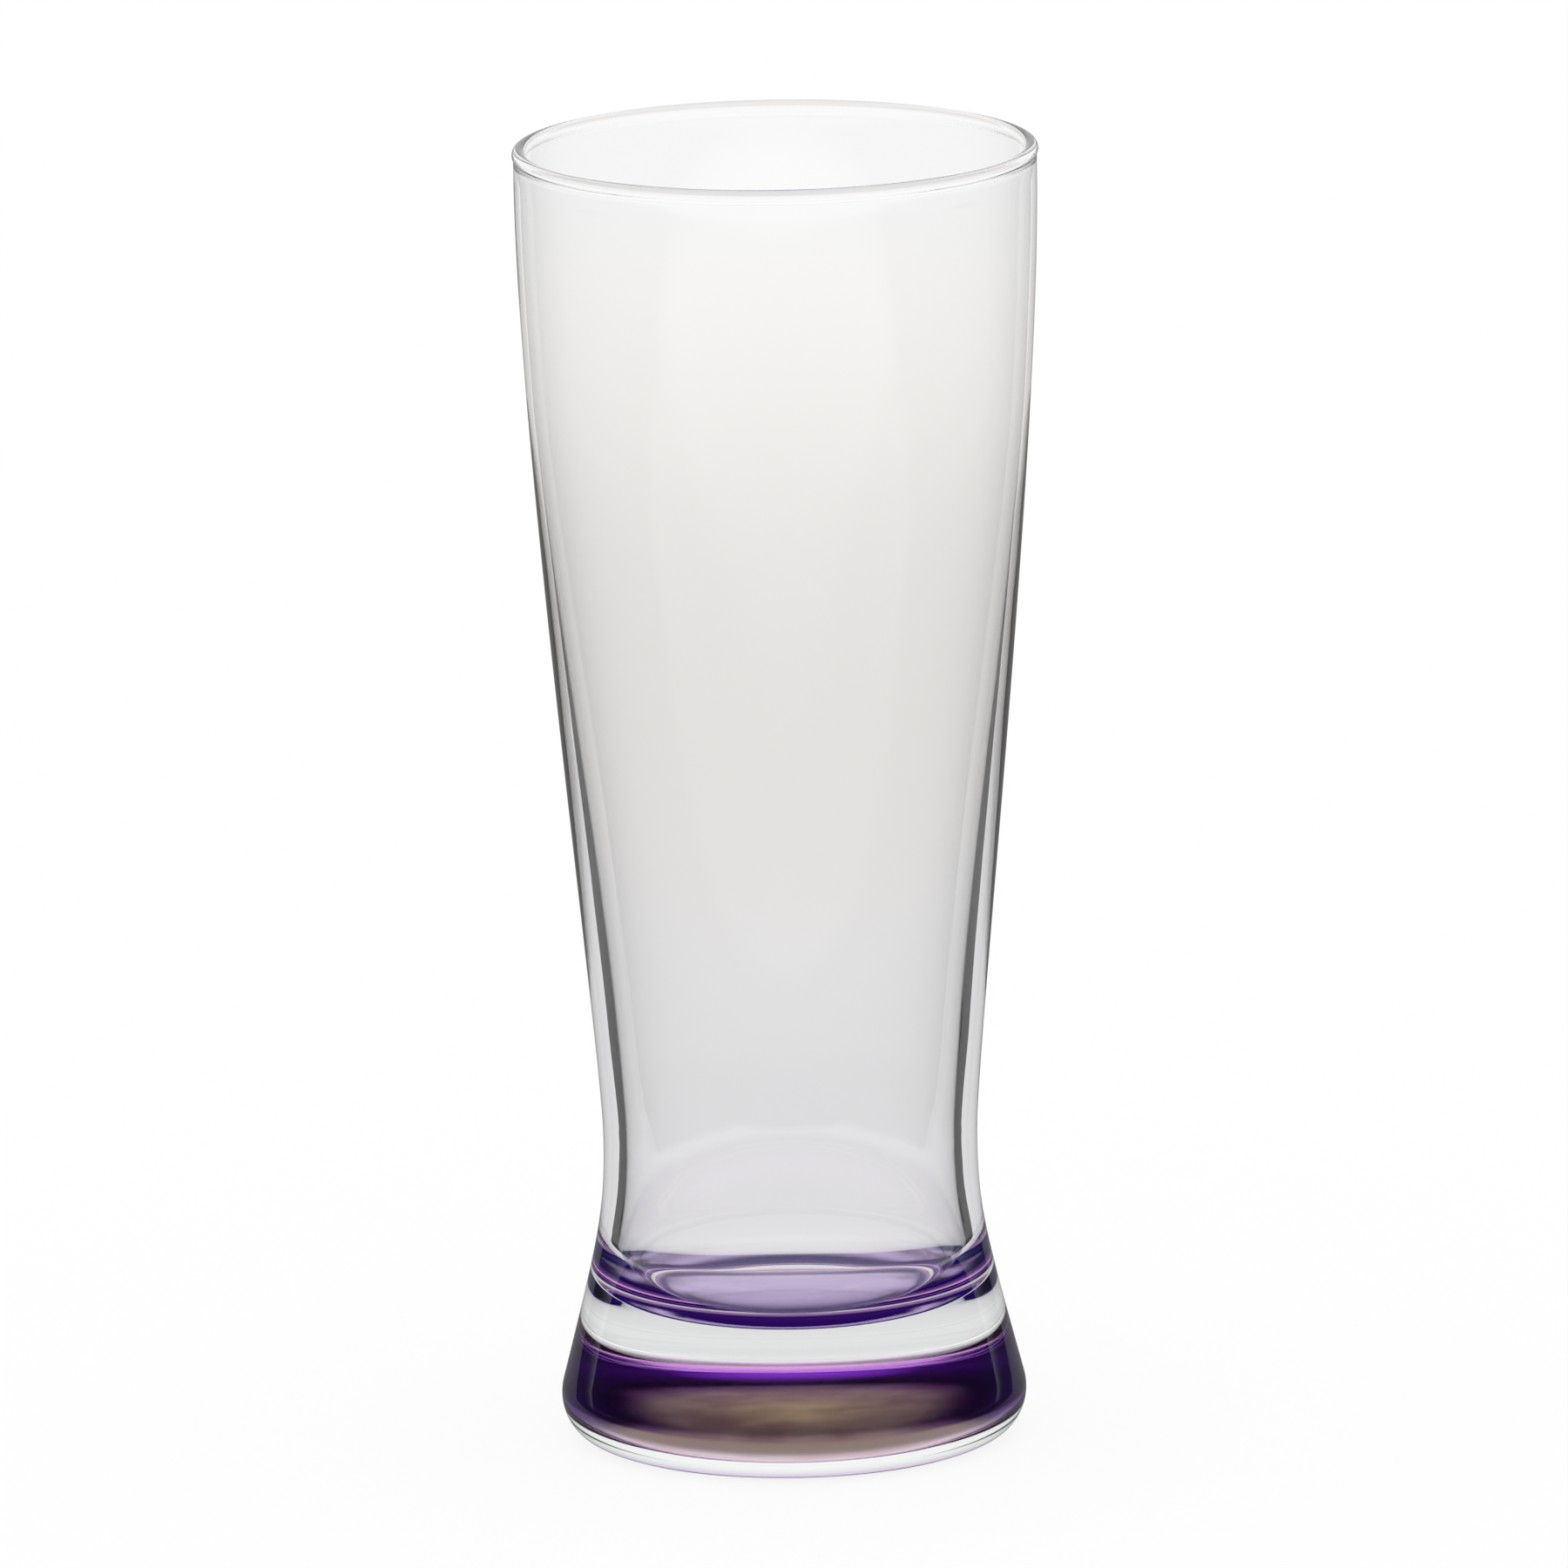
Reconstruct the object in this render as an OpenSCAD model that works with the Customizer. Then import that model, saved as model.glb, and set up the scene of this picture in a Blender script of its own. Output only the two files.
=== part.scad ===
// Pilsner glass with a coloured underside.
// One blown glass body: beaded lip, tapering wall, narrow waist, thick base and flared foot.
// A thin coat of transparent purple lacquer covers the hollow underside of the foot.
// The axis is Z, the origin is the middle of the foot on the table, and sizes are millimetres.

/* [Whole glass] */
// Height from the table to the top of the lip
glass_h = 188; // [160:1:220]
// Diameter of the side just under the lip
mouth_d = 74.4; // [68:0.2:84]
// Diameter of the side at the waist, its narrowest place
waist_d = 53.8; // [50:0.2:60]
// Height of the waist above the table
waist_h = 43.8; // [38:0.2:56]
// Distance below the lip at which the side has come upright
shoulder_drop = 4.5; // [3.5:0.1:12]

/* [Foot] */
// Widest diameter of the foot
foot_d = 67; // [62:0.2:74]
// Height of the rounded heel, from the table to the foot's widest place
heel_h = 5.8; // [4:0.1:7]
// Width of the rounded heel, from the rest ring out to the foot's widest place
heel_w = 4.8; // [3.5:0.1:7]
// Lean of the side just above the heel, in degrees from upright
flare_angle = 14.5; // [8:0.5:20]
// Width of the flat ring that the glass stands on
rest_ring_w = 0.8; // [0.5:0.1:1.5]
// Width of the rounded step between the rest ring and the hollow
step_w = 1.2; // [0.8:0.1:3]
// Height of the hollow underside at the axis
hollow_h = 1.8; // [1.2:0.1:3]

/* [Wall] */
// Wall thickness near the mouth
mouth_wall = 1; // [0.8:0.05:1.6]
// Wall thickness from the waist down
waist_wall = 3.3; // [2.2:0.1:4.5]
// Height above which the wall is as thin as at the mouth
thin_wall_h = 152; // [125:1:155]
// Height below which the wall is as thick as at the waist
thick_wall_h = 60; // [46:1:90]
// Height of the inner floor above the table
floor_h = 19.4; // [15:0.2:25]
// Width of the rounded corner between the inner wall and the floor
corner_w = 6; // [2:0.1:8]
// Height of that rounded corner
corner_h = 8; // [3:0.1:12]

/* [Lip] */
// Thickness of the round bead along the lip
lip_d = 1.9; // [1.7:0.05:2.6]
// How far the bead stands out from the side
lip_proud = 0.2; // [0.05:0.05:0.5]
// Radius that eases the side into the bead
lip_ease_r = 1.5; // [0.8:0.1:2.5]

/* [Coat] */
// Diameter of the lacquered disc on the underside
coat_d = 54.4; // [46:0.2:55]
// Thickness of the lacquer
coat_t = 0.15; // [0.08:0.01:0.3]

/* [Hidden] */

// Reach of each handle of the side's two curves, as a share of that curve's height
foot_handle_share = 0.61;
under_waist_handle_share = 0.31;
over_waist_handle_share = 0.086;
mouth_handle_share = 0.285;
// Share of the hollow's height that its dome loses from the axis to its edge
dome_fall_share = 0.35;

// Counts of straight pieces along each stretch of the outlines
heel_steps = 14;
foot_steps = 24;
taper_steps = 34;
ease_steps = 4;
bead_steps = 18;
bore_steps = 44;
corner_steps = 14;
floor_steps = 2;
dome_steps = 8;
step_steps = 8;

foot_r = foot_d / 2;
waist_r = waist_d / 2;
mouth_r = mouth_d / 2;
shoulder_h = glass_h - shoulder_drop;

// A point of a smooth curve between a and d, with its handles at b and c
function curve_point(a, b, c, d, t) =
    pow(1 - t, 3) * a + 3 * pow(1 - t, 2) * t * b + 3 * (1 - t) * pow(t, 2) * c + pow(t, 3) * d;
// Points of an arc about a centre, from one angle to another
function arc(centre, radius, from, to, steps) =
    [for (i = [0 : steps]) let (a = from + (to - from) * i / steps)
        centre + radius * [cos(a), sin(a)]];
// Goes from 0 to 1 with level ends
function ease(x) = let (t = max(0, min(1, x))) t * t * (3 - 2 * t);
// All points of a list but its first
function rest(points) = [for (i = [1 : len(points) - 1]) points[i]];
function backwards(points) = [for (i = [len(points) - 1 : -1 : 0]) points[i]];

// Outer side: the heel's quarter oval turns past upright into the flare, and two curves meet at the waist
heel_centre = [foot_r - heel_w, heel_h];
heel_end = atan(tan(flare_angle) * heel_h / heel_w);
heel = [for (a = arc([0, 0], 1, -90, heel_end, heel_steps))
    heel_centre + [a[0] * heel_w, a[1] * heel_h]];
flare_start = heel[heel_steps];
foot_rise = waist_h - flare_start[1];
taper_rise = shoulder_h - waist_h;
waist_point = [waist_r, waist_h];
shoulder_point = [mouth_r, shoulder_h];
foot_side = [for (i = [0 : foot_steps]) curve_point(
    flare_start,
    flare_start + foot_handle_share * foot_rise * [-tan(flare_angle), 1],
    waist_point - [0, under_waist_handle_share * foot_rise],
    waist_point,
    i / foot_steps)];
taper_side = [for (i = [0 : taper_steps]) curve_point(
    waist_point,
    waist_point + [0, over_waist_handle_share * taper_rise],
    shoulder_point - [0, mouth_handle_share * taper_rise],
    shoulder_point,
    i / taper_steps)];
side = concat(foot_side, rest(taper_side));
side_by_height = [for (p = concat(side, [[mouth_r, glass_h]])) [p[1], p[0]]];
function side_r(z) = lookup(z, side_by_height);

// Lip: a round bead eased into the wall on both sides
lip_r = lip_d / 2;
bore_mouth_r = mouth_r - mouth_wall;
bead_centre = [mouth_r + lip_proud - lip_r, glass_h - lip_r];
function ease_centre(x) =
    [x, bead_centre[1] - sqrt(pow(lip_ease_r + lip_r, 2) - pow(x - bead_centre[0], 2))];
outer_ease = ease_centre(mouth_r + lip_ease_r);
inner_ease = ease_centre(bore_mouth_r - lip_ease_r);
outer_turn = atan2(bead_centre[1] - outer_ease[1], bead_centre[0] - outer_ease[0]);
inner_turn = atan2(bead_centre[1] - inner_ease[1], bead_centre[0] - inner_ease[0]);
lip = concat(
    arc(outer_ease, lip_ease_r, 180, outer_turn, ease_steps),
    rest(arc(bead_centre, lip_r, outer_turn - 180, inner_turn + 180, bead_steps)),
    rest(arc(inner_ease, lip_ease_r, inner_turn, 0, ease_steps)));

// Bore: the side less the wall, down to the corner's quarter oval and the floor
function wall(z) = mouth_wall
    + (waist_wall - mouth_wall) * ease((thin_wall_h - z) / (thin_wall_h - thick_wall_h));
function bore_r(z) = side_r(z) - wall(z);
corner_mid = floor_h + corner_h;
bore_lean = bore_r(corner_mid) - bore_r(corner_mid + 1);
corner_start = atan(bore_lean * corner_h / corner_w);
corner_centre = [
    bore_r(corner_mid + corner_h * sin(corner_start)) - corner_w * cos(corner_start), corner_mid];
corner = [for (a = arc([0, 0], 1, corner_start, -90, corner_steps))
    corner_centre + [a[0] * corner_w, a[1] * corner_h]];
bore_top = inner_ease[1];
bore_low = corner[0][1];
bore = [for (i = [1 : bore_steps - 1]) let (z = bore_top + (bore_low - bore_top) * i / bore_steps)
    [bore_r(z), z]];
floor_edge = corner[corner_steps];
inner_floor = [for (i = [1 : floor_steps]) [floor_edge[0] * (1 - i / floor_steps), floor_h]];

// Underside: a shallow dome, then a rounded step down to the flat ring
ring_inner_r = heel_centre[0] - rest_ring_w;
hollow_r = ring_inner_r - step_w;
dome_edge_h = hollow_h * (1 - dome_fall_share);
function under_h(r) = r < hollow_r
    ? hollow_h * (1 - dome_fall_share * pow(r / hollow_r, 2))
    : dome_edge_h * (1 - ease((r - hollow_r) / step_w));
function underside_to(r, steps) = [for (i = [0 : steps]) [r * i / steps, under_h(r * i / steps)]];
dome = underside_to(hollow_r, dome_steps);
step = [for (i = [1 : step_steps]) let (r = hollow_r + step_w * i / step_steps) [r, under_h(r)]];

glass_outline = concat(dome, step, heel, rest(side), lip, bore, corner, inner_floor);

// Lacquer: the same underside points out to its rim, and the same again one thickness lower
coat_r = min(coat_d / 2, ring_inner_r - step_w / 2);
coat_top = concat(
    [for (p = concat(dome, step)) if (p[0] < coat_r) p],
    [[coat_r, under_h(coat_r)]]);
coat_outline = concat(coat_top, [for (p = backwards(coat_top)) p - [0, coat_t]]);

module glass_body() {
    color([0.90, 0.93, 0.94, 0.45]) rotate_extrude($fn = 180) polygon(glass_outline);
}

module base_colour_coat() {
    color([0.33, 0.13, 0.62, 0.85]) rotate_extrude($fn = 180) polygon(coat_outline);
}

glass_body();
base_colour_coat();
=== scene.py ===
# Pilsner glass with a purple underside: the finish of its two pieces, the table and the light.
# Outlines are in millimetres and meshes in metres, in the frame of the solids: Z up, with the
# middle of the foot on the table at the origin.
from math import atan, atan2, cos, log, pi, radians, sin, sqrt, tan

import bmesh
import bpy
from mathutils import Matrix, Vector


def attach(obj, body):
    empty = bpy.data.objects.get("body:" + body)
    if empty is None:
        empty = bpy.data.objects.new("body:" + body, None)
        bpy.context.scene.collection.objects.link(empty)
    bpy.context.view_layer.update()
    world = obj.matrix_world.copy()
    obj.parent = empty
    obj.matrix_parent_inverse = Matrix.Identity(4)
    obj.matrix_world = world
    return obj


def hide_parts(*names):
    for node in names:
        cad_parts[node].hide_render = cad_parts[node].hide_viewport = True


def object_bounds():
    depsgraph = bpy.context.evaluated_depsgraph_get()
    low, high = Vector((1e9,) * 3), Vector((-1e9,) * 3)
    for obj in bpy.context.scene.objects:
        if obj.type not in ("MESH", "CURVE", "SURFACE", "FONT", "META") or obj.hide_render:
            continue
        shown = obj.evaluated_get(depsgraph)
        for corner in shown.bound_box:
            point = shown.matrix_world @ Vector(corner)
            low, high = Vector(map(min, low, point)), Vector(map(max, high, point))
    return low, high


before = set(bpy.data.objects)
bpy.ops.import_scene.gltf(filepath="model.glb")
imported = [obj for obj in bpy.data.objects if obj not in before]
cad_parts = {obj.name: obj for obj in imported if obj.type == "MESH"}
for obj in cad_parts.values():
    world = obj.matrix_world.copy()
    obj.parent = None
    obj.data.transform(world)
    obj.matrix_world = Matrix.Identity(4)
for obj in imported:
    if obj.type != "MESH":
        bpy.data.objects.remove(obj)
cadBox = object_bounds()
print("stage: frame loaded")

mm = 0.001
scene = bpy.context.scene

# The body's outline, as the solids have it
body = {
    "height": cadBox[1][2] / mm,
    "lipR": cadBox[1][0] / mm,
    "waistR": 26.9,
    "waistHeight": 43.8,
    "shoulderDrop": 4.5,  # how far below the lip the side has come upright
    "footR": 33.5,
    "heelHeight": 5.8,
    "heelWidth": 4.8,
    "flareAngle": radians(14.5),  # lean of the side just above the heel
    "ringWidth": 0.8,  # the flat ring that the glass stands on
    "stepWidth": 1.2,  # the rounded step between that ring and the hollow
    "hollowHeight": 1.8,
    "domeFallShare": 0.35,  # how much of that height the hollow loses out to the step
    "mouthWall": 1.0,
    "waistWall": 3.3,
    "thinWallHeight": 152.0,  # the wall is as thin as at the mouth above this
    "thickWallHeight": 60.0,  # and as thick as at the waist below this
    "floorHeight": 19.4,
    "cornerWidth": 6.0,
    "cornerHeight": 8.0,
    "lipThick": 1.9,
    "lipProud": 0.2,
    "lipEaseR": 1.5,
    # how far the handles of the side's two curves reach, as shares of those curves' heights
    "footHandleShare": 0.61,
    "underWaistHandleShare": 0.31,
    "overWaistHandleShare": 0.086,
    "mouthHandleShare": 0.285,
}

# The lacquer was sprayed on, so it thins out towards its rim, as overspray under the heel
coat = {
    "rimR": 32.2,
    # how thick it is at these distances from the axis, as a share of the whole
    "shares": (
        (0.0, 1.0), (20.0, 1.0), (27.5, 0.8), (29.2, 0.45), (30.2, 0.1), (31.2, 0.05),
        (32.2, 0.01),
    ),
    "depth": 0.12,  # how much of it lies above the glass's own underside
    "skin": 0.02,  # and how much below, out to skinEndR
    "skinEndR": 27.2,
    "inset": 0.004,  # keeps it clear of the glass's own surface
}

# How finely the outlines are drawn: pieces along each stretch, and turns of the spin
fineness = {
    "dome": 16,
    "step": 12,
    "heel": 28,
    "foot": 36,
    "taper": 60,
    "lipEase": 6,
    "bead": 28,
    "bore": 80,
    "corner": 40,
    "floor": 12,
    "coatDome": 56,
    "coatRing": 4,
    "turns": 240,
    "weld": 1e-7,  # points closer than this many metres become one
}


def easeShare(x):
    # 0 to 1 with level ends
    t = max(0.0, min(1.0, x))
    return t * t * (3 - 2 * t)


def arcPoints(centre, radiusX, radiusZ, start, end, steps):
    turns = [start + (end - start) * i / steps for i in range(steps + 1)]
    return [(centre[0] + radiusX * cos(a), centre[1] + radiusZ * sin(a)) for a in turns]


def curvePoints(a, b, c, d, steps):
    # a smooth curve from a to d, with its handles at b and c
    found = []
    for i in range(steps + 1):
        t = i / steps
        weights = ((1 - t) ** 3, 3 * (1 - t) ** 2 * t, 3 * (1 - t) * t * t, t ** 3)
        found.append(tuple(sum(w * p[k] for w, p in zip(weights, (a, b, c, d))) for k in (0, 1)))
    return found


ringOutR = body["footR"] - body["heelWidth"]
ringInR = ringOutR - body["ringWidth"]
hollowR = ringInR - body["stepWidth"]
domeEdgeHeight = body["hollowHeight"] * (1 - body["domeFallShare"])


def undersideHeight(r):
    if r < hollowR:
        return body["hollowHeight"] * (1 - body["domeFallShare"] * (r / hollowR) ** 2)
    return domeEdgeHeight * (1 - easeShare((r - hollowR) / body["stepWidth"]))


def heelAndSide():
    # from the rest ring round the heel, up the flare to the waist and on to the shoulder
    b = body
    wide, tall = b["heelWidth"], b["heelHeight"]
    rise = tan(b["flareAngle"])
    heelEnd = atan(rise * tall / wide)
    heel = arcPoints((ringOutR, tall), wide, tall, -pi / 2, heelEnd, fineness["heel"])
    startR, startHeight = heel[-1]
    footRise = b["waistHeight"] - startHeight
    mouthR = b["lipR"] - b["lipProud"]
    shoulder = b["height"] - b["shoulderDrop"]
    taperRise = shoulder - b["waistHeight"]
    footPull = b["footHandleShare"] * footRise
    foot = curvePoints(
        (startR, startHeight),
        (startR - footPull * rise, startHeight + footPull),
        (b["waistR"], b["waistHeight"] - b["underWaistHandleShare"] * footRise),
        (b["waistR"], b["waistHeight"]),
        fineness["foot"])
    taper = curvePoints(
        (b["waistR"], b["waistHeight"]),
        (b["waistR"], b["waistHeight"] + b["overWaistHandleShare"] * taperRise),
        (mouthR, shoulder - b["mouthHandleShare"] * taperRise),
        (mouthR, shoulder),
        fineness["taper"])
    return heel, foot[1:] + taper[1:]


heelLine, sideLine = heelAndSide()


def sideRadius(height):
    line = [heelLine[-1]] + sideLine
    for low, high in zip(line, line[1:]):
        if low[1] <= height <= high[1]:
            return low[0] + (high[0] - low[0]) * (height - low[1]) / (high[1] - low[1])
    return line[-1][0] if height > line[-1][1] else line[0][0]


def boreRadius(height):
    b = body
    thick = easeShare((b["thinWallHeight"] - height) / (b["thinWallHeight"] - b["thickWallHeight"]))
    return sideRadius(height) - b["mouthWall"] - (b["waistWall"] - b["mouthWall"]) * thick


def lipPoints():
    # the bead, eased into the wall on both sides
    b = body
    beadR = b["lipThick"] / 2
    easeR = b["lipEaseR"]
    wallR = b["lipR"] - b["lipProud"]
    boreR = wallR - b["mouthWall"]
    bead = (b["lipR"] - beadR, b["height"] - beadR)

    def easeCentre(r):
        return (r, bead[1] - sqrt((easeR + beadR) ** 2 - (r - bead[0]) ** 2))

    outer, inner = easeCentre(wallR + easeR), easeCentre(boreR - easeR)
    outerTurn = atan2(bead[1] - outer[1], bead[0] - outer[0])
    innerTurn = atan2(bead[1] - inner[1], bead[0] - inner[0])
    line = arcPoints(outer, easeR, easeR, pi, outerTurn, fineness["lipEase"])
    line += arcPoints(bead, beadR, beadR, outerTurn - pi, innerTurn + pi, fineness["bead"])[1:]
    return line + arcPoints(inner, easeR, easeR, innerTurn, 0, fineness["lipEase"])[1:]


def bodyOutline():
    # from the hollow's middle out and up to the lip, and down the bore to the floor's middle
    b, f = body, fineness
    undersideRs = [hollowR * i / f["dome"] for i in range(f["dome"] + 1)]
    undersideRs += [hollowR + b["stepWidth"] * i / f["step"] for i in range(1, f["step"] + 1)]
    underside = [(r, undersideHeight(r)) for r in undersideRs]
    lip = lipPoints()
    # the corner is a quarter oval that starts where its slope is the bore's
    wide, tall = b["cornerWidth"], b["cornerHeight"]
    middle = b["floorHeight"] + tall
    lean = boreRadius(middle) - boreRadius(middle + 1)
    start = atan(lean * tall / wide)
    cornerCentre = (boreRadius(middle + tall * sin(start)) - wide * cos(start), middle)
    corner = arcPoints(cornerCentre, wide, tall, start, -pi / 2, f["corner"])
    edge = corner[-1][0]
    floor = [(edge * (1 - i / f["floor"]), b["floorHeight"]) for i in range(1, f["floor"] + 1)]
    top, low = lip[-1][1], corner[0][1]
    heights = [top + (low - top) * i / f["bore"] for i in range(1, f["bore"])]
    bore = [(boreRadius(z), z) for z in heights]
    return underside + heelLine + sideLine + lip + bore + corner + floor


def coatShare(r):
    stops = coat["shares"]
    for (startR, startShare), (endR, endShare) in zip(stops, stops[1:]):
        if r <= endR:
            return startShare + (endShare - startShare) * easeShare((r - startR) / (endR - startR))
    return stops[-1][1]


def coatOutline():
    # a thin lens along the underside, with its top just inside the glass
    c, f = coat, fineness
    domeRs = [ringInR * i / f["coatDome"] for i in range(f["coatDome"] + 1)]
    ringRs = [ringInR + body["ringWidth"] * i / f["coatRing"] for i in range(1, f["coatRing"])]
    line = [(r, undersideHeight(r)) for r in domeRs] + [(r, 0.0) for r in ringRs]
    line += [p for p in heelLine if p[0] < c["rimR"]]
    top, skin = [], []
    for i, (r, z) in enumerate(line):
        # the way into the glass, square to the line here
        before, after = line[max(0, i - 1)], line[min(len(line) - 1, i + 1)]
        run, rise = after[0] - before[0], after[1] - before[1]
        span = sqrt(run * run + rise * rise)
        inR, inZ = -rise / span, run / span
        if i == 0:
            inR, inZ = 0.0, 1.0
        over = c["depth"] * coatShare(r) + c["inset"]
        under = -c["skin"] * coatShare(r) if r < c["skinEndR"] else c["inset"]
        top.append((max(0.0, r + inR * over), z + inZ * over))
        skin.append((max(0.0, r + inR * under), z + inZ * under))
    return top + skin[::-1]


def newObject(name, shape):
    mesh = bpy.data.meshes.new(name)
    shape.to_mesh(mesh)
    shape.free()
    made = bpy.data.objects.new(name, mesh)
    scene.collection.objects.link(made)
    return made


def spunPiece(name, outline):
    # the outline, spun once round the Z axis into a closed smooth mesh
    shape = bmesh.new()
    corners = [shape.verts.new((r * mm, 0, z * mm)) for r, z in outline]
    for a, b in zip(corners, corners[1:]):
        shape.edges.new((a, b))
    bmesh.ops.remove_doubles(shape, verts=shape.verts, dist=fineness["weld"])
    bmesh.ops.spin(
        shape, geom=shape.verts[:] + shape.edges[:], cent=(0, 0, 0), axis=(0, 0, 1),
        angle=2 * pi, steps=fineness["turns"], use_merge=True)
    bmesh.ops.remove_doubles(shape, verts=shape.verts, dist=fineness["weld"])
    bmesh.ops.recalc_face_normals(shape, faces=shape.faces)
    for face in shape.faces:
        face.smooth = True
    return newObject(name, shape)


glassPiece = spunPiece("clear_glass_body", bodyOutline())
coatPiece = spunPiece("purple_underside_coat", coatOutline())
print("stage: pieces spun")


def newMaterial(name):
    material = bpy.data.materials.new(name)
    material.use_nodes = True
    material.node_tree.nodes.clear()
    return material, material.node_tree


def feed(tree, value, socket):
    # value is a number, a colour, or what another node puts out
    if isinstance(value, (int, float)):
        socket.default_value = value
    elif isinstance(value, tuple):
        socket.default_value = (*value, 1)
    else:
        tree.links.new(value, socket)


def maths(tree, operation, first, *others):
    # takes the values in turn, so that three values make two nodes
    result = first
    for other in others:
        node = tree.nodes.new("ShaderNodeMath")
        node.operation = operation
        feed(tree, result, node.inputs[0])
        feed(tree, other, node.inputs[1])
        result = node.outputs[0]
    return result


def ramp(tree, source, edges, low=0.0, high=1.0):
    # goes smoothly from low to high while the source goes from the first edge to the second
    node = tree.nodes.new("ShaderNodeMapRange")
    node.interpolation_type = "SMOOTHSTEP"
    for name, value in zip(("From Min", "From Max", "To Min", "To Max"), (*edges, low, high)):
        node.inputs[name].default_value = value
    tree.links.new(source, node.inputs["Value"])
    return node.outputs["Result"]


def blend(tree, share, low, high):
    # the colour low where the share is 0, and high where it is 1
    node = tree.nodes.new("ShaderNodeMix")
    node.data_type = "RGBA"
    for name, value in (("Factor", share), ("A", low), ("B", high)):
        feed(tree, value, node.inputs[name])
    return node.outputs["Result"]


def timesVector(tree, source, vector):
    node = tree.nodes.new("ShaderNodeVectorMath")
    node.operation = "MULTIPLY"
    node.inputs[1].default_value = vector
    tree.links.new(source, node.inputs[0])
    return node.outputs[0]


def placeOnPiece(tree):
    return tree.nodes.new("ShaderNodeTexCoord").outputs["Object"]


def axisDistance(tree, place):
    # how far a place lies from the Z axis, in metres
    length = tree.nodes.new("ShaderNodeVectorMath")
    length.operation = "LENGTH"
    tree.links.new(timesVector(tree, place, (1, 1, 0)), length.inputs[0])
    return length.outputs["Value"]


def byRadius(tree, radius, stops):
    # the colours of the stops, whose places are millimetres from the axis
    reach = stops[-1][0]
    node = tree.nodes.new("ShaderNodeValToRGB")
    points = node.color_ramp.elements
    points.remove(points[1])
    points[0].position, points[0].color = stops[0][0] / reach, (*stops[0][1], 1)
    for place, colour in stops[1:]:
        points.new(place / reach).color = (*colour, 1)
    tree.links.new(maths(tree, "DIVIDE", radius, reach * mm), node.inputs[0])
    return node.outputs["Color"]


def noiseOf(tree, place, scale, detail):
    node = tree.nodes.new("ShaderNodeTexNoise")
    node.inputs["Scale"].default_value = scale
    node.inputs["Detail"].default_value = detail
    tree.links.new(place, node.inputs["Vector"])
    return node.outputs["Fac"]


def putOut(tree, surface):
    output = tree.nodes.new("ShaderNodeOutputMaterial")
    tree.links.new(surface, output.inputs["Surface"])
    return output


def mixed(tree, share, first, second):
    # the first shader where the share is 0, and the second where it is 1
    node = tree.nodes.new("ShaderNodeMixShader")
    for source, socket in zip((share, first.outputs[0], second.outputs[0]), node.inputs):
        tree.links.new(source, socket)
    return node.outputs[0]


def absorption(tree, output, left, length):
    # left is the share of each colour that is left after this length
    rates = [-log(share) / length for share in left]
    density = max(rates)
    volume = tree.nodes.new("ShaderNodeVolumeAbsorption")
    volume.inputs["Density"].default_value = density
    volume.inputs["Color"].default_value = (*[1 - rate / density for rate in rates], 1)
    tree.links.new(volume.outputs[0], output.inputs["Volume"])


clearGlass = {
    "ior": 1.5,
    "tint": (0.93, 0.965, 0.94),  # what tintLength of it, in metres, leaves of white light
    "tintLength": 0.1,
    "waves": 45.0,  # how many of its faint waves there are in a metre
    "waveDetail": 1.0,
    "waveDepth": 0.00003,
}


def glassMaterial():
    g = clearGlass
    material, tree = newMaterial("clear_glass")
    shader = tree.nodes.new("ShaderNodeBsdfPrincipled")
    shader.inputs["Base Color"].default_value = (1, 1, 1, 1)
    shader.inputs["Roughness"].default_value = 0
    shader.inputs["IOR"].default_value = g["ior"]
    shader.inputs["Transmission Weight"].default_value = 1
    bump = tree.nodes.new("ShaderNodeBump")
    bump.inputs["Strength"].default_value = 1
    bump.inputs["Distance"].default_value = g["waveDepth"]
    waves = noiseOf(tree, placeOnPiece(tree), g["waves"], g["waveDetail"])
    tree.links.new(waves, bump.inputs["Height"])
    tree.links.new(bump.outputs["Normal"], shader.inputs["Normal"])
    absorption(tree, putOut(tree, shader.outputs[0]), g["tint"], g["tintLength"])
    return material


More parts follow.
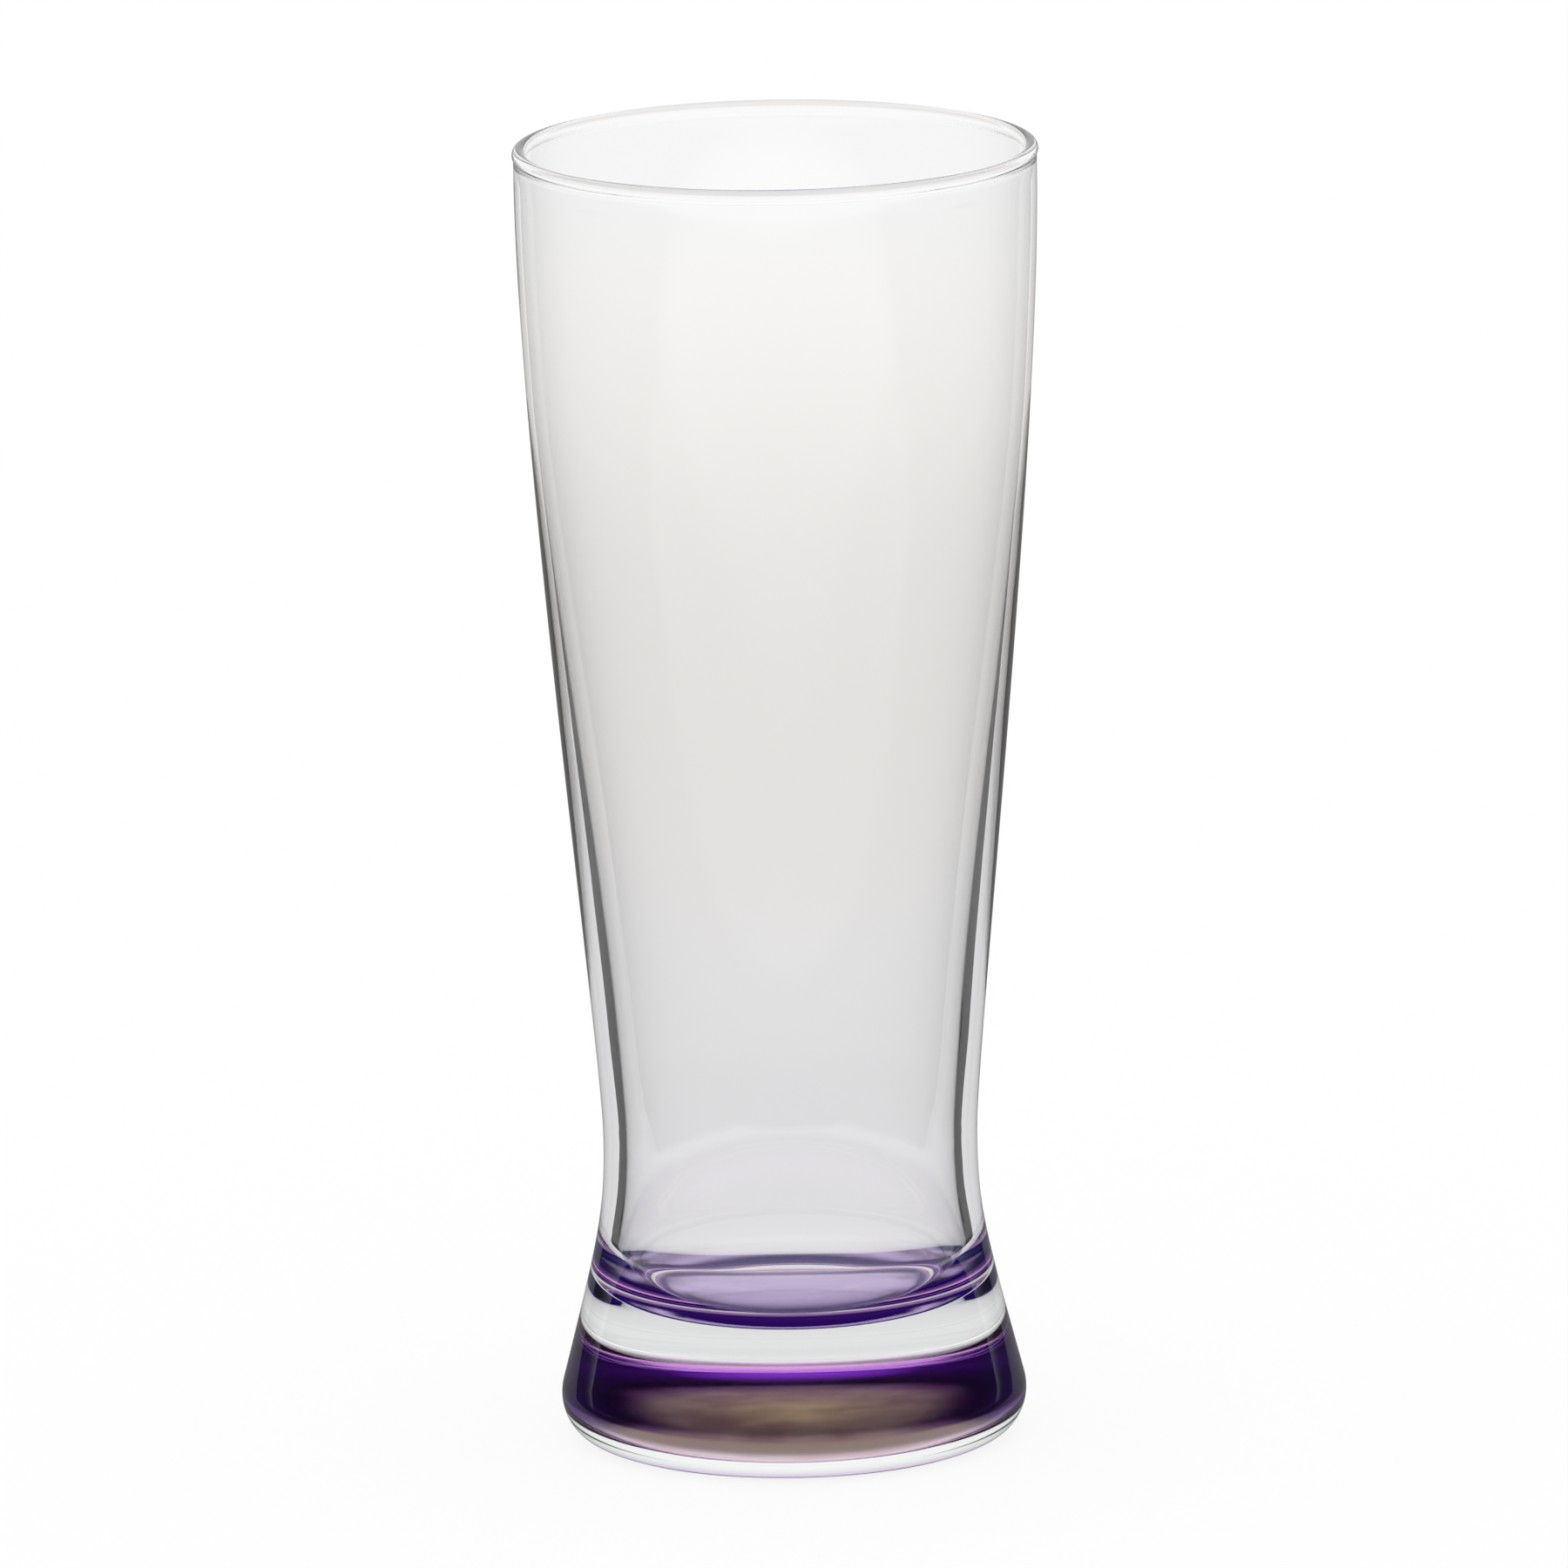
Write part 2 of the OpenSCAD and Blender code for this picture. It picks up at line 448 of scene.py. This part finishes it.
# Pairs named Facing are ranges of how flat it is seen, from 0 for straight down on it to 1 for
# edge on. Pairs named Radius are ranges of distance from the axis.
lacquer = {
    "left": (0.09, 0.008, 0.42),  # what leftLength of it, in metres, leaves of white light
    "leftLength": 0.154 * mm,
    # what it mirrors, by distance in mm: the dye's bronze, then painted reflections in plum, near
    # black and violet, and a painted pink highlight on the overspray
    "mirror": (
        (0.0, (0.9, 0.7, 0.48)), (8.0, (0.5, 0.37, 0.31)), (13.0, (0.5, 0.36, 0.33)),
        (15.8, (0.2, 0.12, 0.19)), (18.5, (0.06, 0.025, 0.09)), (21.0, (0.05, 0.008, 0.13)),
        (24.0, (0.16, 0.02, 0.45)), (26.5, (0.3, 0.03, 0.8)), (30.4, (0.72, 0.07, 1.0)),
        (31.4, (1.0, 0.38, 1.0)),
    ),
    # the tint of its glare, dark so that it doesn't whiten, by distance in mm
    "glare": (
        (0.0, (0.38, 0.32, 0.3)), (18.0, (0.35, 0.3, 0.4)), (25.0, (0.6, 0.3, 1.0)),
        (30.0, (0.9, 0.35, 1.0)),
    ),
    "flatGlare": (0.85, 0.66, 0.9),  # and where it is seen nearly edge on
    "flatGlareFacing": (0.86, 0.93),
    "mirrorFacing": (0.7, 0.775),  # it comes to mirror over this range
    "innerRadius": (16.0 * mm, 19.0 * mm),  # out to here it does so, and further out it also
    "outerFacing": (0.772, 0.802),  # needs this range
    "olive": (0.66, 0.52, 0.34),  # a painted olive reflection on the inner part where it is seen flatter still
    "oliveFacing": (0.77, 0.81),
    "deep": (0.09, 0.015, 0.14),  # a painted dark tone that it mirrors below deepFacing, standing in for shade
    "deepFacing": (0.66, 0.72),
    "deepShare": 0.2,  # how much it mirrors there
    "lavender": (0.62, 0.46, 0.78),  # the pigment's pale colour as a painted sheen where seen from high up, in place of light from below
    "lavenderShare": 0.85,
    "lavenderStartFacing": (0.12, 0.2),
    "lavenderEndFacing": (0.3, 0.38),
    "lavenderEndRadius": (23.0 * mm, 27.0 * mm),
    "slantFacing": (0.4, 0.5),  # between the painted lavender sheen below it and the painted dark tone above it
    "rimShare": 0.7,  # how much the overspray mirrors at any angle, as a painted pink highlight line
    "rimStartRadius": (30.0 * mm, 30.8 * mm),
    "rimEndRadius": (31.6 * mm, 32.2 * mm),
    "upNormal": (0.0, 0.1),  # it mirrors only where its surface points up, into the glass
    # spraying left it patchy
    "patches": 160.0,  # in a metre
    "patchDetail": 3.0,
    "patchNoise": (0.35, 0.65),
    "patchTone": (0.76, 0.72, 0.76),  # what is left of the tone in a patch
    "roughNoise": (0.3, 0.7),
    "roughness": (0.112, 0.224),
    "plainCosine": 0.5,  # the blend at which facing is 1 less the cosine of the view's slope
}


def lacquerTone(tree, radius, facing, noise, inner, inward):
    c = lacquer
    # the mirror's colour by radius: the dye's bronze and painted reflection tones
    tone = byRadius(tree, radius, c["mirror"])
    patchy = timesVector(tree, tone, c["patchTone"])
    tone = blend(tree, ramp(tree, noise, c["patchNoise"]), patchy, tone)
    # painted reflection: the inner part turns olive where it is seen flat
    olive = maths(tree, "MULTIPLY", ramp(tree, facing, c["oliveFacing"]), inner)
    tone = blend(tree, olive, tone, c["olive"])
    # painted shade: the mirror turns dark violet where it is seen steeper
    flat = ramp(tree, facing, c["deepFacing"])
    flat = maths(tree, "MAXIMUM", flat, ramp(tree, radius, c["rimStartRadius"]))
    tone = blend(tree, flat, c["deep"], tone)
    # painted light: a pale lavender sheen where it is seen steeply, inside lavenderEndRadius
    steep = maths(tree, "MULTIPLY", ramp(tree, facing, c["slantFacing"], 1.0, 0.0), inward)
    return blend(tree, steep, tone, c["lavender"])


def lacquerGlare(tree, radius, facing):
    flat = ramp(tree, facing, lacquer["flatGlareFacing"])
    return blend(tree, flat, byRadius(tree, radius, lacquer["glare"]), lacquer["flatGlare"])


def towardsGlass(tree):
    # 1 on the outside of the coat's upper side, and 0 elsewhere
    geometry = tree.nodes.new("ShaderNodeNewGeometry")
    outside = maths(tree, "SUBTRACT", 1.0, geometry.outputs["Backfacing"])
    normal = tree.nodes.new("ShaderNodeSeparateXYZ")
    tree.links.new(geometry.outputs["Normal"], normal.inputs[0])
    return maths(tree, "MULTIPLY", outside, ramp(tree, normal.outputs["Z"], lacquer["upNormal"]))


def lacquerShare(tree, radius, facing, inner, inward):
    # how much it mirrors; the rest of the light goes on into it
    c = lacquer
    outer = ramp(tree, facing, c["outerFacing"])
    grazing = maths(
        tree, "MULTIPLY", ramp(tree, facing, c["mirrorFacing"]),
        maths(tree, "MAXIMUM", inner, outer))
    deep = ramp(tree, facing, c["slantFacing"], 0.0, c["deepShare"])
    # the share of the painted lavender sheen
    pale = maths(
        tree, "MULTIPLY", ramp(tree, facing, c["lavenderStartFacing"], 0.0, c["lavenderShare"]),
        ramp(tree, facing, c["lavenderEndFacing"], 1.0, 0.0), inward)
    # the overspray's painted pink highlight line
    rim = maths(
        tree, "MULTIPLY", ramp(tree, radius, c["rimStartRadius"], 0.0, c["rimShare"]),
        ramp(tree, radius, c["rimEndRadius"], 1.0, 0.0))
    share = maths(tree, "MAXIMUM", grazing, deep, pale, rim)
    return maths(tree, "MULTIPLY", share, towardsGlass(tree))


def lacquerMaterial():
    c = lacquer
    material, tree = newMaterial("purple_lacquer")
    place = placeOnPiece(tree)
    radius = axisDistance(tree, place)
    noise = noiseOf(tree, place, c["patches"], c["patchDetail"])
    view = tree.nodes.new("ShaderNodeLayerWeight")
    view.inputs["Blend"].default_value = c["plainCosine"]
    facing = view.outputs["Facing"]
    inner = ramp(tree, radius, c["innerRadius"], 1.0, 0.0)
    inward = ramp(tree, radius, c["lavenderEndRadius"], 1.0, 0.0)
    clear = tree.nodes.new("ShaderNodeBsdfTransparent")
    sheen = tree.nodes.new("ShaderNodeBsdfPrincipled")
    sheen.inputs["Metallic"].default_value = 1
    for name, source in (
        ("Base Color", lacquerTone(tree, radius, facing, noise, inner, inward)),
        ("Roughness", ramp(tree, noise, c["roughNoise"], *c["roughness"])),
        ("Specular Tint", lacquerGlare(tree, radius, facing)),
    ):
        tree.links.new(source, sheen.inputs[name])
    share = lacquerShare(tree, radius, facing, inner, inward)
    output = putOut(tree, mixed(tree, share, clear, sheen))
    absorption(tree, output, c["left"], c["leftLength"])
    return material


glassPiece.data.materials.append(glassMaterial())
coatPiece.data.materials.append(lacquerMaterial())
for piece, node, slot in (
    (glassPiece, "glass_body", "clear_glass"),
    (coatPiece, "base_colour_coat", "purple_lacquer"),
):
    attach(piece, "root")
    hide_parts(node)
print("stage: finishes on")

# The camera stands where the photograph's did, a little above the glass and far away
shot = {
    "place": (0.0, -2.3, 0.599),
    "aim": (0.0, 0.0, 0.095),
    "roll": radians(-0.9),
    "focalPixels": 18876.0,
    "framePixels": 1800.0,
    "shiftPixels": 0.9,
    "sensor": 36.0,
    "nearest": 0.01,
}


def makeCamera():
    data = bpy.data.cameras.new("camera")
    made = bpy.data.objects.new("camera", data)
    scene.collection.objects.link(made)
    place, aim = Vector(shot["place"]), Vector(shot["aim"])
    turn = (aim - place).to_track_quat("-Z", "Y").to_matrix().to_4x4()
    made.matrix_world = Matrix.Translation(place) @ turn @ Matrix.Rotation(shot["roll"], 4, "Z")
    data.sensor_width = shot["sensor"]
    data.lens = shot["focalPixels"] / shot["framePixels"] * shot["sensor"]
    data.shift_x = -shot["shiftPixels"] / shot["framePixels"]
    data.clip_start = shot["nearest"]
    scene.camera = made
    return made


camera = makeCamera()


def plainQuad(name, corners):
    shape = bmesh.new()
    shape.faces.new([shape.verts.new(c) for c in corners])
    quad = newObject(name, shape)
    return quad


# Lengths are in metres, and pairs are ranges of distance from the glass's axis
table = {
    "reach": 60.0,
    "colour": (1.0, 1.0, 1.0),
    "glow": 0.85,  # how much of the white that the camera and the glass see is the table's own
    # the glass shows the table at these strengths, from a painted shadow under its foot through
    # painted shade near it to far off
    "shadowUnderFoot": 0.25,
    "footEdge": (0.03, 0.036),
    "nearFoot": 0.82,
    "farEdge": (0.4, 0.9),
    "farOff": 0.955,
    "mirrored": 0.1,  # what is left of them, as painted shade, where the glass's outer face mirrors the table
    # and in these faint painted tints of light: lavender near by, then warm, then plain again
    "nearTint": (1.0, 0.983, 1.006),
    "tintEdge": (0.22, 0.38),
    "farTint": (1.0, 0.972, 0.942),
    "tintEnd": (0.75, 1.05),
}


def tableMaterial():
    # plain white to the camera; the glass shows it with painted shade and faint painted tints
    t = table
    material, tree = newMaterial("table_white")
    radius = axisDistance(tree, placeOnPiece(tree))
    path = tree.nodes.new("ShaderNodeLightPath")
    direct = path.outputs["Is Camera Ray"]
    glossy = path.outputs["Is Glossy Ray"]
    through = path.outputs["Is Transmission Ray"]
    matt = tree.nodes.new("ShaderNodeBsdfDiffuse")
    matt.inputs["Color"].default_value = (*t["colour"], 1)
    white = tree.nodes.new("ShaderNodeEmission")

    rise = t["farOff"] - t["nearFoot"]
    # painted shadow under the foot and painted shade near it, as the glass sees it
    tone = maths(
        tree, "ADD", ramp(tree, radius, t["footEdge"], t["shadowUnderFoot"], t["nearFoot"]),
        ramp(tree, radius, t["farEdge"], 0.0, rise))
    # a glossy ray that hasn't been through the glass was mirrored by its outer face
    outerFace = maths(tree, "SUBTRACT", glossy, through)
    # painted shade on the table's reflection in the outer face
    tone = maths(tree, "MULTIPLY", tone, ramp(tree, outerFace, (0.0, 1.0), 1.0, t["mirrored"]))
    tree.links.new(maths(tree, "MAXIMUM", tone, direct), white.inputs["Strength"])

    # painted tints of light that only the glass sees
    tint = blend(tree, ramp(tree, radius, t["tintEdge"]), t["nearTint"], t["farTint"])
    tint = blend(tree, ramp(tree, radius, t["tintEnd"]), tint, t["colour"])
    tree.links.new(blend(tree, direct, tint, t["colour"]), white.inputs["Color"])

    seen = maths(tree, "MAXIMUM", direct, glossy, through)
    putOut(tree, mixed(tree, maths(tree, "MULTIPLY", seen, t["glow"]), matt, white))
    return material


def makeTable():
    far = table["reach"]
    top = plainQuad("table", [(-far, -far, 0), (far, -far, 0), (far, far, 0), (-far, far, 0)])
    top.data.materials.append(tableMaterial())


makeTable()

# A turntable studio: the glass stands on a white strip between black cards, which turn with the
# camera. The picture doesn't show them, but the glass does, and that draws its dark edges.
cards = {
    "stripHalf": 0.05,  # half the width of the white strip beside the glass
    "stripSpread": tan(radians(22)),  # how fast it widens behind the glass
    "front": -0.05,  # where it ends in front, at a third lying card
    "far": 4.0,  # how far the lying cards reach
    "lie": 0.0005,  # how high they lie
    "grey": 0.04,
    "farGrey": 0.5,  # what the lying cards come to over greyEdge, away from the axis
    "greyEdge": (0.2, 0.9),
    "whiteEdge": (0.45, 1.3),  # and they turn white over this range in front
    # the upright ones stand in front and on both sides
    "uprightAt": -1.1,
    "uprightHalf": 1.0,
    "uprightBack": 0.9,
    "uprightTop": 1.4,
}


def floorCardMaterial():
    c = cards
    material, tree = newMaterial("floor_card")
    shader = tree.nodes.new("ShaderNodeEmission")
    place = placeOnPiece(tree)
    grey = ramp(tree, axisDistance(tree, place), c["greyEdge"], c["grey"], c["farGrey"])
    parts = tree.nodes.new("ShaderNodeSeparateXYZ")
    tree.links.new(place, parts.inputs[0])
    inFront = maths(tree, "MULTIPLY", parts.outputs["Y"], -1.0)
    strength = maths(tree, "MAXIMUM", grey, ramp(tree, inFront, c["whiteEdge"]))
    tree.links.new(strength, shader.inputs["Strength"])
    putOut(tree, shader.outputs[0])
    return material


def uprightCardMaterial():
    material, tree = newMaterial("upright_card")
    shader = tree.nodes.new("ShaderNodeEmission")
    shader.inputs["Strength"].default_value = cards["grey"]
    putOut(tree, shader.outputs[0])
    return material


def makeCards():
    c = cards
    lying, standing = floorCardMaterial(), uprightCardMaterial()
    near, front, far = c["stripHalf"], c["front"], c["far"]
    wide = near + (far - front) * c["stripSpread"]
    places = {
        "card_floor_left": [(-far, front), (-near, front), (-wide, far), (-wide - far, far)],
        "card_floor_right": [(near, front), (far, front), (wide + far, far), (wide, far)],
        "card_floor_front": [(-far, -far), (far, -far), (far, front), (-far, front)],
    }
    places = {name: [(x, y, c["lie"]) for x, y in corners] for name, corners in places.items()}
    half, stand, back, top = c["uprightHalf"], c["uprightAt"], c["uprightBack"], c["uprightTop"]
    for name, start, end in (
        ("card_front", (-half, stand), (half, stand)),
        ("card_left", (-half, stand), (-half, back)),
        ("card_right", (half, stand), (half, back)),
    ):
        places[name] = [(*start, 0), (*end, 0), (*end, top), (*start, top)]
    for name, corners in places.items():
        card = plainQuad(name, corners)
        lies = name.startswith("card_floor")
        card.data.materials.append(lying if lies else standing)
        card.visible_transmission = lies
        card.visible_camera = False
        card.visible_diffuse = False
        card.visible_shadow = False
        card.visible_volume_scatter = False
        card.parent = camera
        card.matrix_parent_inverse = camera.matrix_world.inverted()


makeCards()


def makeWorld():
    world = bpy.data.worlds.new("white_studio")
    scene.world = world
    world.use_nodes = True
    tree = world.node_tree
    tree.nodes.clear()
    output = tree.nodes.new("ShaderNodeOutputWorld")
    sky = tree.nodes.new("ShaderNodeBackground")
    sky.inputs["Color"].default_value = (1, 1, 1, 1)
    sky.inputs["Strength"].default_value = 1
    tree.links.new(sky.outputs[0], output.inputs["Surface"])


makeWorld()

scene.view_settings.view_transform = "Standard"
# light needs many bounces to get through both walls, the thick base and the lacquer
scene.cycles.max_bounces = 24
scene.cycles.glossy_bounces = 20
scene.cycles.transmission_bounces = 20
scene.cycles.diffuse_bounces = 3
scene.cycles.transparent_max_bounces = 24
print("stage: camera, table and light")
